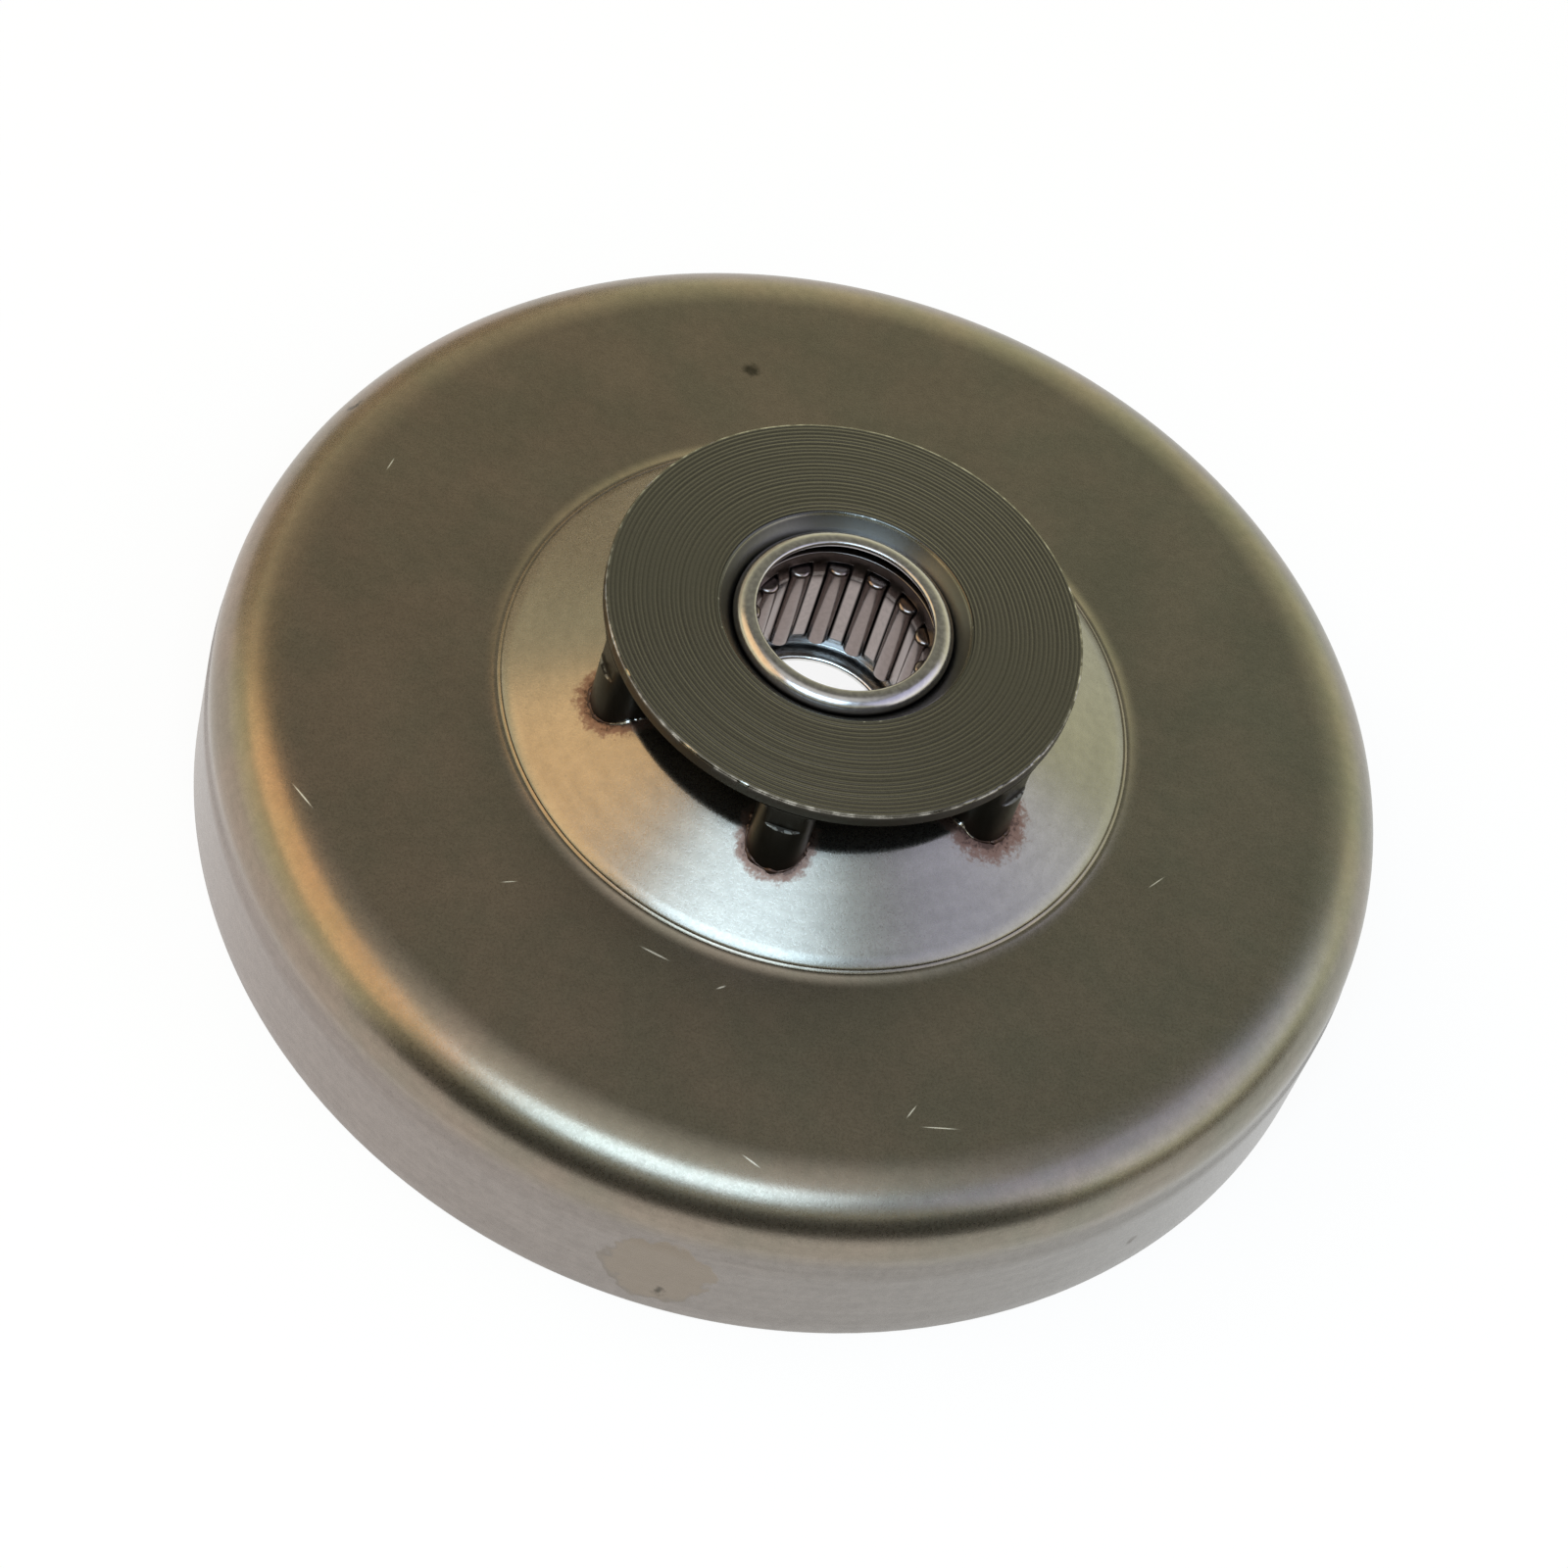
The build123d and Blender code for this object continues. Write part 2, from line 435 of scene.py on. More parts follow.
# %% Drum section
FACE_Z = 13.1
SHEET = 1.85
WALL_R = 37.85
BAND_R = 38.0
BAND_TOP = 8.0
BAND_TAPER = 0.4
EDGE_BEND = 4.1
SOFT_BEND = 9.0
SOFT_ANGLE = 12.0
RIM_BREAK = 0.35
CONE_FOOT_R = 20.65
CONE_TOP_R = 13.55
CONE_ANGLE = math.radians(25.2)
CONE_FOOT_BEND = 3.0
CONE_TOP_BEND = 1.0
CONE_STEP = 0.4
CONE_STEPS = 14
CREASE = ((20.0, 0.0), (20.09, -0.06), (20.18, 0.0), (20.25, 0.0), (20.34, -0.05), (20.45, 0.0))
FOOT_RADII = [20.6, 20.75, 20.9, 21.05, 21.2, 21.35, 22.0]
HOLE_CLEARANCE = 0.05
CONE_SLOPE = math.tan(CONE_ANGLE)
CONE_TOP_Z = FACE_Z + (CONE_FOOT_R - CONE_TOP_R) * CONE_SLOPE


def foot_height(radius):
    """Height of the sheet near the cone's foot: the cone, the bend and then the flat face."""
    bend_end = CONE_FOOT_R + CONE_FOOT_BEND * math.tan(CONE_ANGLE / 2)
    bend_start = bend_end - CONE_FOOT_BEND * math.sin(CONE_ANGLE)
    if radius <= bend_start:
        return FACE_Z + (CONE_FOOT_R - radius) * CONE_SLOPE
    if radius >= bend_end:
        return FACE_Z
    return FACE_Z + CONE_FOOT_BEND - math.sqrt(CONE_FOOT_BEND**2 - (bend_end - radius) ** 2)


def outer_section():
    """The drum's outer line from the top of the cone to the rim."""
    bend_r = CONE_TOP_R - CONE_TOP_BEND * math.tan(CONE_ANGLE / 2)
    tilt = math.degrees(CONE_ANGLE)
    line = section_arc(bend_r, CONE_TOP_Z - CONE_TOP_BEND, CONE_TOP_BEND, 90, 90 - tilt, 5)
    crease_r = [r for r, _ in CREASE]
    crease_z = [z for _, z in CREASE]
    radii = [line[-1][0] + CONE_STEP * step for step in range(1, CONE_STEPS + 1)]
    for r in radii + crease_r + FOOT_RADII:
        line.append((r, foot_height(r) + float(np.interp(r, crease_r, crease_z))))
    soft = math.radians(SOFT_ANGLE)
    tight_bend = (EDGE_BEND - SOFT_BEND * (1 - math.cos(soft))) / math.cos(soft)
    start_r = WALL_R - SOFT_BEND * math.sin(soft) - tight_bend * (1 - math.sin(soft))
    line += straight(line[-1], (start_r, FACE_Z), 8)
    line += section_arc(start_r, FACE_Z - SOFT_BEND, SOFT_BEND, 90, 90 - SOFT_ANGLE, 10)
    line += section_arc(WALL_R - tight_bend, FACE_Z - EDGE_BEND, tight_bend, 90 - SOFT_ANGLE, 0, 22)[1:]
    line += [(WALL_R, BAND_TOP), (BAND_R, BAND_TOP - BAND_TAPER)]
    line += straight((BAND_R, BAND_TOP - BAND_TAPER), (BAND_R, RIM_BREAK), 6)
    line += section_arc(BAND_R - RIM_BREAK, RIM_BREAK, RIM_BREAK, 0, -90, 4)
    return line


def inner_section():
    """The drum's inner line from the rim to the underside of the cone."""
    friction_r = WALL_R - SHEET
    inner_bend = EDGE_BEND - SHEET
    line = section_arc(friction_r + RIM_BREAK, RIM_BREAK, RIM_BREAK, 270, 180, 4)
    line += straight(line[-1], (friction_r, FACE_Z - EDGE_BEND), 4)
    line += section_arc(WALL_R - EDGE_BEND, FACE_Z - EDGE_BEND, inner_bend, 0, 90, 14)
    shift = (SHEET / math.cos(CONE_ANGLE) - SHEET) / CONE_SLOPE
    foot = (CONE_FOOT_R - shift, FACE_Z - SHEET)
    top = (CONE_TOP_R - shift, CONE_TOP_Z - SHEET)
    line += straight(line[-1], foot, 4) + [foot] + straight(foot, top, 8) + [top]
    return line


print("drum section:", len(outer_section()) + len(inner_section()), "points")

# %% [markdown]
# ## The drum's mesh
# Rings that lie further in than the pierced hole are clipped to its outline. Their height is then
# read from the section at the clipped radius, so the edge of the hole climbs the cone exactly where
# the sheet does.

# %% Drum mesh
CLIP_R = 17.0
FLAT_RINGS = 7
hole_r = np.hypot(*(star_points(HOLE_CLEARANCE * MM).T)) / MM


def clipped_rings(line, top_z, inwards):
    """Rings along a section, clipped to the pierced hole, with a flat of height top_z inside it."""
    radii = np.array([p[0] for p in line])
    heights = np.array([p[1] for p in line])
    flat = np.linspace(GULLET_R / MM, min(radii), FLAT_RINGS + 1)[:-1]
    near = radii < CLIP_R
    order = np.argsort(radii[near])
    known_r = np.concatenate([flat, radii[near][order]])
    known_z = np.concatenate([np.full(len(flat), top_z), heights[near][order]])

    def clipped(r):
        radius = np.maximum(hole_r, r)
        return ring(radius, np.interp(radius, known_r, known_z))

    rings = [clipped(r) for r in flat]
    if inwards:
        rings.reverse()
    body = [clipped(r) if r < CLIP_R else ring(r, z) for r, z in line]
    return body + rings if inwards else rings + body


drum_rings = clipped_rings(outer_section(), CONE_TOP_Z, False)
drum_rings += clipped_rings(inner_section(), CONE_TOP_Z - SHEET, True)
drum = skin("drum_shell", drum_rings)

# %% [markdown]
# ## Heat near the teeth
# Brazing left a ragged brown bloom round each tooth. A material can draw the ragged edge, but it has
# to know how far a point is from the nearest tooth, so the distance is stored on the mesh. The heat
# was not the same everywhere, so each tooth has a factor that shrinks or stretches its distance.

# %% Distance to the nearest tooth
BLOOM_START_R = 12.4 * MM
BLOOM_SHRINK = (1.3, 0.72, 0.9, 1.0, 1.0, 1.0)


def store_distance(piece, name):
    """Stores each vertex's distance to the nearest tooth, in millimetres times the tooth's factor."""
    mesh = piece.data
    points = np.empty(len(mesh.vertices) * 3)
    mesh.vertices.foreach_get("co", points)
    flat = points.reshape(-1, 3)[:, :2]
    nearest = np.full(len(flat), np.inf)
    for outline, shrink in zip(np.split(star, TOOTH_COUNT), BLOOM_SHRINK):
        for point in outline[np.hypot(*outline.T) > BLOOM_START_R]:
            nearest = np.minimum(nearest, np.hypot(*(flat - point).T) * shrink)
    layer = mesh.attributes.new(name, "FLOAT", "POINT")
    layer.data.foreach_set("value", (nearest / MM).astype(np.float32))
    return nearest


nearest = store_distance(drum, "tooth_distance")
print("distance to a tooth:", round(nearest.min() / MM, 2), "to", round(nearest.max() / MM, 1), "mm")

# %% [markdown]
# ## The sprocket
# The sprocket was pressed from powder and then turned. The lathe left fine grooves on the flange's
# face and cut the upper tooth tips flush with the flange, so a small ledge runs across each tooth.
# The grooves are real geometry here: a picture of grooves would not break up the highlight.

# %% Sprocket section
HUB_R = 9.3
HUB_BOTTOM = 9.6
HUB_BREAK = 0.5
STAR_BOTTOM = 13.2
TOOTH_RINGS = 5
TURNED_BOTTOM = 19.7
LEDGE = 0.06
FLANGE_R = 15.05
FLANGE_TOP = 22.4
FLANGE_BOTTOM = 21.35
FLANGE_BREAK = 0.12
FLANGE_LOWER_BREAK = 0.08
BORE_R = 7.02
BORE_CHAMFER = 1.05
MOUTH_ROUND = ((0.05, 0.03), (0.1, 0.08))
GROOVE_COUNT = 23
GROOVE_SPREAD = (0.84, 1.16)
GROOVE_DEPTH = (0.009, 0.018)
GROOVE_POINTS = 6
GROOVE_SEED = 11
GROOVE_MARGINS = (0.05, 0.06)
UNDERCUT = 0.45
UNDERCUT_TURNS = (25, 50, 70, 90)
NICK_COUNT = 26
NICK_DEPTH = 0.05
NICK_WIDTH = (0.008, 0.03)
NICK_STRENGTH = (0.2, 1.0)
NICK_SEED = 4


def nicked_edge():
    """A small inward dent for each column, smooth and random, for a worn edge."""
    draw = np.random.default_rng(NICK_SEED)
    dents = np.zeros_like(column_turn)
    for _ in range(NICK_COUNT):
        middle = draw.uniform(-math.pi, math.pi)
        width = draw.uniform(*NICK_WIDTH)
        away = np.angle(np.exp(1j * (column_turn - middle)))
        dents += draw.uniform(*NICK_STRENGTH) * np.exp(-((away / width) ** 2))
    return NICK_DEPTH * np.minimum(dents, 1.0)


def grooved_face():
    """Section points of the turned face, from the flange's edge in to the bore's chamfer."""
    draw = np.random.default_rng(GROOVE_SEED)
    steps = draw.uniform(*GROOVE_SPREAD, GROOVE_COUNT)
    edges = np.concatenate([[0.0], np.cumsum(steps) / steps.sum()])
    outer = FLANGE_R - FLANGE_BREAK - GROOVE_MARGINS[0]
    inner = BORE_R + BORE_CHAMFER + GROOVE_MARGINS[1]
    points = []
    for start, end, depth in zip(edges, edges[1:], draw.uniform(*GROOVE_DEPTH, GROOVE_COUNT)):
        for share in np.arange(GROOVE_POINTS) / GROOVE_POINTS:
            dip = depth * math.sin(math.pi * share) ** 2
            points.append((outer + (inner - outer) * (start + (end - start) * share), FLANGE_TOP - dip))
    return points + [(inner, FLANGE_TOP)]


def sprocket_line():
    """Radius and height of each ring, from the bore's lower end round the outside and back down."""
    tooth_r = star_r / MM
    turned_r = np.minimum(tooth_r, FLANGE_R)
    line = [
        (BORE_R, HUB_BOTTOM + HUB_BREAK),
        (BORE_R + HUB_BREAK, HUB_BOTTOM),
        (HUB_R - HUB_BREAK, HUB_BOTTOM),
        (HUB_R, HUB_BOTTOM + HUB_BREAK),
        (HUB_R, STAR_BOTTOM),
    ]
    line += [(tooth_r, z) for z in np.linspace(STAR_BOTTOM, TURNED_BOTTOM, TOOTH_RINGS)]
    line += [(turned_r, TURNED_BOTTOM + LEDGE), (turned_r, FLANGE_BOTTOM - UNDERCUT)]
    for turn in np.radians(UNDERCUT_TURNS):
        grown = tooth_r + UNDERCUT * (1 - math.cos(turn))
        line.append((np.minimum(grown, FLANGE_R), FLANGE_BOTTOM - UNDERCUT * (1 - math.sin(turn))))
    nick = nicked_edge()
    line += [
        (FLANGE_R - FLANGE_LOWER_BREAK, FLANGE_BOTTOM),
        (FLANGE_R, FLANGE_BOTTOM + FLANGE_LOWER_BREAK),
        (FLANGE_R - 0.4 * nick, FLANGE_TOP - FLANGE_BREAK),
        (FLANGE_R - 0.4 * FLANGE_BREAK - nick, FLANGE_TOP - 0.3 * FLANGE_BREAK),
    ]
    line += grooved_face()
    line += [(BORE_R + BORE_CHAMFER - inset, FLANGE_TOP - drop) for inset, drop in MOUTH_ROUND]
    return line + [(BORE_R, FLANGE_TOP - BORE_CHAMFER)]


sprocket = skin("sprocket_body", [ring(r, z) for r, z in sprocket_line()])

# %% [markdown]
# ## A lathe made of nodes
# The bearing's cup and its rollers are plain turned shapes. A small node tree turns any section into
# such a shape: it reads the section's points by their number, lays them out on a grid with one row
# for every step of the turn, and moves each grid point to its place round the axis. The tree is used
# once for the cup and once for every roller, with another centre each time.

# %% Lathe tree
LATHE_MERGE = 0.002 * MM
KEPT_MERGE = 0.001 * MM


def new_tree(name, inputs):
    """A Geometry Nodes tree for a geometry, the inputs given and a material, and its input results."""
    tree = bpy.data.node_groups.new(name, "GeometryNodeTree")
    for label, kind in (("Geometry", "Geometry"), *inputs.items(), ("Material", "Material")):
        tree.interface.new_socket(label, in_out="INPUT", socket_type="NodeSocket" + kind)
    tree.interface.new_socket("Geometry", in_out="OUTPUT", socket_type="NodeSocketGeometry")
    nodes = Nodes(tree)
    return nodes, nodes.add("NodeGroupInput").outputs


def end_tree(nodes, given, geometry):
    """Gives the tree's geometry its material and hands it out."""
    dress = nodes.add("GeometryNodeSetMaterial", {"Geometry": geometry, "Material": given["Material"]})
    nodes.add("NodeGroupOutput", {0: dress.outputs[0]})
    return nodes.tree


def lathe_tree():
    """Turns the points of a section, x for radius and z for height, round a centre."""
    nodes, given = new_tree("turned_piece", {"Steps": "Int", "Centre": "Vector"})
    size = nodes.add("GeometryNodeAttributeDomainSize", {0: given["Geometry"]}, component="MESH")
    count = size.outputs["Point Count"]
    rows = nodes.math("ADD", given["Steps"], 1)
    grid = nodes.add("GeometryNodeMeshGrid", {"Vertices X": rows, "Vertices Y": count})
    number = nodes.add("GeometryNodeInputIndex").outputs[0]
    row = nodes.math("FLOOR", nodes.math("DIVIDE", number, count))
    turn = nodes.math("MULTIPLY", nodes.math("DIVIDE", row, given["Steps"]), 2 * math.pi)
    source = {
        "Geometry": given["Geometry"],
        "Value": nodes.add("GeometryNodeInputPosition").outputs[0],
        "Index": nodes.math("MODULO", number, count),
    }
    read = nodes.add("GeometryNodeSampleIndex", source, data_type="FLOAT_VECTOR", domain="POINT")
    point = nodes.split(read.outputs[0])
    x = nodes.math("MULTIPLY", point["X"], nodes.math("COSINE", turn))
    y = nodes.math("MULTIPLY", point["X"], nodes.math("SINE", turn))
    spot = nodes.add("ShaderNodeCombineXYZ", {"X": x, "Y": y, "Z": point["Z"]}).outputs[0]
    spot = nodes.vector("ADD", spot, given["Centre"])
    move = nodes.add("GeometryNodeSetPosition", {"Geometry": grid.outputs["Mesh"], "Position": spot})
    merge = nodes.add("GeometryNodeMergeByDistance", {"Geometry": move.outputs[0], "Distance": LATHE_MERGE})
    real = nodes.add("GeometryNodeRealizeInstances", {0: merge.outputs[0]})
    return end_tree(nodes, given, real.outputs[0])


def add_tree(piece, tree, values):
    """Puts a tree on a piece as a modifier and fills in the tree's inputs."""
    modifier = piece.modifiers.new("nodes", "NODES")
    modifier.node_group = tree
    for item in tree.interface.items_tree:
        if item.in_out == "INPUT" and item.name in values:
            modifier[item.identifier] = values[item.name]


def keep_result(piece, merge):
    """Replaces a piece's modifiers with the plain mesh that they make."""
    graph = bpy.context.evaluated_depsgraph_get()
    made = bpy.data.meshes.new_from_object(piece.evaluated_get(graph), depsgraph=graph)
    piece.modifiers.clear()
    piece.data = made
    made.name = piece.name
    finish_mesh(made, merge)


def run_tree(name, tree, points, values, edges=()):
    """Runs a tree on points, or on lines of points, and keeps the result."""
    piece = add_mesh(name, points, [], edges)
    add_tree(piece, tree, values)
    keep_result(piece, KEPT_MERGE)
    return piece


turned_piece = lathe_tree()
print("lathe tree has", len(turned_piece.nodes), "nodes")

# %% [markdown]
# ## Metals
# Every metal here is a Principled shader with Metallic at one. What differs is the oxide's colour and
# how rough it is. Patterns read Object coordinates, scaled so that one unit is a millimetre, which
# makes the size of a grain or a stain easy to write.

# %% Metal
NOISE_MIDDLE = (0.5, 0.5, 0.5)
NOISE_RANGE = (0.3, 0.7)


class Metal(Nodes):
    """A metal with one colour, and millimetre coordinates to dress it with."""

    def __init__(self, name, colour, roughness):
        self.material = bpy.data.materials.new(name)
        self.material.use_nodes = True
        super().__init__(self.material.node_tree)
        self.shader = self.tree.nodes["Principled BSDF"].inputs
        self.shader["Metallic"].default_value = 1.0
        self.shader["Base Color"].default_value = (*colour, 1)
        self.shader["Roughness"].default_value = roughness
        self.place = self.vector("SCALE", self.add("ShaderNodeTexCoord").outputs["Object"], scale=1 / MM)
        self.x, self.y, self.height = self.split(self.place)
        self.flat = self.vector("MULTIPLY", self.place, (1, 1, 0))
        self.radius = self.vector("LENGTH", self.flat)

    def grain(self, scale, detail=2.0, roughness=0.5):
        """A noise value between zero and one, with scale in cycles for each millimetre."""
        return self.noise(self.place, scale, detail, roughness)[0]

    def shade(self, colour, pattern, low, high):
        """A colour made darker and lighter by a noise pattern, from one factor to another."""
        return self.vector("SCALE", colour, scale=self.remap(pattern, *NOISE_RANGE, low, high))

    def shaken(self, scale, reach):
        """Coordinates shifted by noise, so that a mark drawn with them gets a ragged edge."""
        centred = self.vector("SUBTRACT", self.noise(self.place, scale, 3.0)["Color"], NOISE_MIDDLE)
        return self.vector("MULTIPLY_ADD", centred, (reach, reach, reach), self.place)

    def marks(self, place, table, depth, soft):
        """Share that is one inside any of the marks: centre, turn in degrees, half length, half width."""
        total = None
        for x, y, z, turn, length, width in table:
            frame_of_mark = {
                "Vector": place,
                "Location": (x, y, z),
                "Rotation": (0, 0, math.radians(turn)),
                "Scale": (length, width, depth),
            }
            local = self.add("ShaderNodeMapping", frame_of_mark, vector_type="TEXTURE").outputs[0]
            share = self.remap(self.vector("LENGTH", local), 1.0, 1.0 - soft)
            total = share if total is None else self.math("MAXIMUM", total, share)
        return total

    def coats(self, colour, *layers):
        """A colour under layers, each a share and the layer's colour."""
        for share, layer in layers:
            colour = self.blend(share, colour, layer)
        return colour

    def paint(self, colour, roughness=None, relief=None, depth=0.0):
        """Feeds the shader its colour, its roughness and a relief of a depth in millimetres."""
        self.feed(self.shader["Base Color"], colour)
        if roughness is not None:
            self.feed(self.shader["Roughness"], roughness)
        if relief is not None:
            bump = self.add("ShaderNodeBump", {"Distance": depth * MM, "Height": relief})
            self.feed(self.shader["Normal"], bump.outputs[0])
        return self.material


# %% [markdown]
# ## The drum's finish
# The sheet carries a thin brown oxide. It is olive on the face, paler on the rubbed wall and on the
# coined cone, with fine grain all over and darker specks. A painted reflection of the warm card makes
# it a little browner on the left, and a cool one a little greener on the right. Near the teeth it
# turns rust brown, with painted shade in the crease at each tooth's foot. A mark is a row of its
# centre, its turn, its half length and half width, and the form of a group of marks is their half
# height and the softness of their edges. A noise is named with its scale, detail and roughness, and a
# band with the two values that its share grows between and, where they aren't nought and one, the
# shares at those values.

# %% Drum finish
SCRATCHES = (
    (-5.0, -22.0, 13.1, -11, 1.2, 0.09),
    (-0.6, -22.9, 13.1, 40, 0.4, 0.08),
    (-28.2, -18.7, 13.0, -38, 1.3, 0.07),
    (14.3, -27.8, 13.1, 16, 1.4, 0.06),
    (12.4, -27.3, 13.1, 70, 0.7, 0.06),
    (-14.7, -20.2, 13.1, 25, 0.6, 0.05),
    (23.7, -5.5, 13.1, 55, 0.9, 0.04),
    (4.0, -33.9, 12.9, -20, 0.8, 0.07),
    (-30.5, 8.0, 13.1, 80, 0.7, 0.05),
)
DARK_SPOTS = (
    (-10.3, 25.1, 13.1, 0, 0.9, 0.7),
    (1.3, -38.0, 2.3, 0, 0.5, 0.6),
    (28.5, -25.2, 3.5, 45, 0.5, 0.7),
    (-34.2, 12.5, 12.2, 60, 0.9, 0.4),
)
STAIN = ((0.9, -38.0, 4.6, 0, 3.5, 2.4),)
STAIN_EDGE = ((0.75, -38.0, 4.45, 0, 3.6, 2.4),)
SCRATCH_FORM = (2.0, 0.6)
SPOT_FORM = (0.6, 0.8)
STAIN_FORM = (3.2, 0.1)
STAIN_EDGE_FORM = (3.2, 0.06)
STAIN_SHARE = 0.45
STAIN_EDGE_SHARE = 0.42
STAIN_SHAKE = (0.45, 3.4)
SPOT_SHAKE = (1.2, 1.2)
FACE_COLOURS = ((0.262, 0.238, 0.184), (0.295, 0.252, 0.196))
WALL_COLOUR = (0.278, 0.255, 0.226)
CONE_COLOUR = (0.310, 0.292, 0.246)
SPECK_COLOUR = (0.14, 0.125, 0.10)
STAIN_COLOUR = (0.315, 0.258, 0.196)
STAIN_EDGE_COLOUR = (0.17, 0.14, 0.10)
SPOT_COLOUR = (0.10, 0.085, 0.065)
BLOOM_COLOUR = (0.180, 0.094, 0.070)
# Painted shade in the crease at the foot of each tooth
FOOT_SHADE_COLOUR = (0.06, 0.04, 0.034)
SCRATCH_COLOUR = (0.80, 0.78, 0.70)
WALL_BAND = (9.6, 7.8)
CONE_BAND = (20.1, 20.0)
SPECK_BAND = (0.62, 0.75, 0.0, 0.3)
CLOUD = (0.16, 4.0, 0.6)
CLOUD_BAND = (0.35, 0.65)
MOTTLE = (1.3, 4.0, 0.7)
MOTTLE_SHADES = (0.94, 1.06)
BLOOM_NOISE = (2.4, 5.0, 0.75)
BLOOM_JITTER = 2.2
BLOOM_BAND = (1.05, 0.5, 0.0, 0.8)
FOOT_SHADE_BAND = (0.45, 0.05, 0.0, 0.85)
BLOOM_BOTTOM = (14.0, 14.4)
# Painted reflection tints: warm from the card on the left, cool towards the right
LEFT_WARM_REFLECTION_TINT = (1.10, 1.0, 1.0)
RIGHT_COOL_REFLECTION_TINT = (0.94, 0.99, 1.04)
REFLECTION_TINT_REACH = 30.0
STREAK_STRETCH = (0.15, 0.15, 2.6)
STREAK = (1.0, 3.0)
STREAK_SHADES = (0.96, 1.04)
SHEET_GRAIN = (5.5, 2.0, 0.6)
SHEET_ROUGHNESS = (0.26, 0.31)
WORN_ROUGHNESS = 0.2
GRAIN_DEPTH = 0.004


def oxide_colour(metal, grain):
    """Colour of the sheet before any mark: the face, the rubbed wall, the coined cone and a painted
    reflection tint, warm on the left and cool on the right.
    """
    colour = metal.coats(
        metal.blend(metal.remap(metal.grain(*CLOUD), *CLOUD_BAND), *FACE_COLOURS),
        (metal.remap(metal.height, *WALL_BAND), WALL_COLOUR),
        (metal.remap(metal.radius, *CONE_BAND), CONE_COLOUR),
    )
    right = metal.remap(metal.x, -REFLECTION_TINT_REACH, REFLECTION_TINT_REACH, smooth=False)
    colour = metal.vector("MULTIPLY", colour, metal.blend(right, LEFT_WARM_REFLECTION_TINT, RIGHT_COOL_REFLECTION_TINT))
    colour = metal.shade(colour, metal.grain(*MOTTLE), *MOTTLE_SHADES)
    streak = metal.noise(metal.vector("MULTIPLY", metal.place, STREAK_STRETCH), *STREAK)[0]
    colour = metal.shade(colour, streak, *STREAK_SHADES)
    return metal.blend(metal.remap(grain, *SPECK_BAND), colour, SPECK_COLOUR)


def heat(metal):
    """Shares of brown bloom and of painted shade in the crease at each tooth's foot, both with ragged edges.
    """
    distance = metal.add("ShaderNodeAttribute", attribute_name="tooth_distance").outputs["Fac"]
    jitter = metal.math("SUBTRACT", metal.grain(*BLOOM_NOISE), 0.5)
    reach = metal.math("ADD", distance, metal.math("MULTIPLY", jitter, BLOOM_JITTER))
    on_top = metal.remap(metal.height, *BLOOM_BOTTOM)
    return [metal.both(metal.remap(reach, *band), on_top) for band in (BLOOM_BAND, FOOT_SHADE_BAND)]


def oxide_steel():
    """Satin sheet with a brown oxide, heat bloom round the teeth, painted shade at their feet, a stain, dark
    spots and scratches.
    """
    metal = Metal("oxide_steel", (0.27, 0.245, 0.20), 0.28)
    grain = metal.grain(*SHEET_GRAIN)
    blotchy = metal.shaken(*STAIN_SHAKE)
    stain_edge = metal.marks(blotchy, STAIN_EDGE, *STAIN_EDGE_FORM)
    stain = metal.marks(blotchy, STAIN, *STAIN_FORM)
    bloom, foot_shade = heat(metal)
    scratch = metal.marks(metal.place, SCRATCHES, *SCRATCH_FORM)
    colour = metal.coats(
        oxide_colour(metal, grain),
        (metal.math("MULTIPLY", stain_edge, STAIN_EDGE_SHARE), STAIN_EDGE_COLOUR),
        (metal.math("MULTIPLY", stain, STAIN_SHARE), STAIN_COLOUR),
        (metal.marks(metal.shaken(*SPOT_SHAKE), DARK_SPOTS, *SPOT_FORM), SPOT_COLOUR),
        (bloom, BLOOM_COLOUR),
        (foot_shade, FOOT_SHADE_COLOUR),
        (scratch, SCRATCH_COLOUR),
    )
    worn = metal.math("MULTIPLY", metal.math("MAXIMUM", bloom, scratch), WORN_ROUGHNESS)
    rough = metal.math("ADD", metal.remap(grain, *NOISE_RANGE, *SHEET_ROUGHNESS), worn)
    return metal.paint(colour, rough, grain, GRAIN_DEPTH)


drum.data.materials.append(oxide_steel())
print("drum finish:", len(drum.data.materials[0].node_tree.nodes), "nodes")

# %% [markdown]
# ## The sprocket's finish
# The turned faces are dark olive, darker at the bottoms of the grooves. The flange's edge is worn
# bright. The teeth below the turned zone are painted nearly black as the shadow under the flange, the
# bore's chamfer carries painted shade and the ledge on each tooth a painted highlight. Each zone is
# found by its height and radius.

# %% Sprocket finish
TURNED_COLOURS = ((0.278, 0.260, 0.220), (0.244, 0.229, 0.195))
# Darker at the bottoms of the grooves
GROOVE_DARK_COLOUR = (0.10, 0.095, 0.08)
SIDE_COLOUR = (0.085, 0.080, 0.070)
# Painted shadow under the flange, on the teeth and the hub
UNDER_FLANGE_SHADOW_COLOUR = (0.050, 0.046, 0.040)
# Painted shade on the bore's chamfer
CHAMFER_SHADE_COLOURS = ((0.070, 0.067, 0.063), (0.120, 0.117, 0.112))
WORN_COLOUR = (0.52, 0.50, 0.45)
MOUTH_COLOUR = (0.085, 0.083, 0.075)
MOUTH_CHIP_COLOUR = (0.30, 0.29, 0.27)
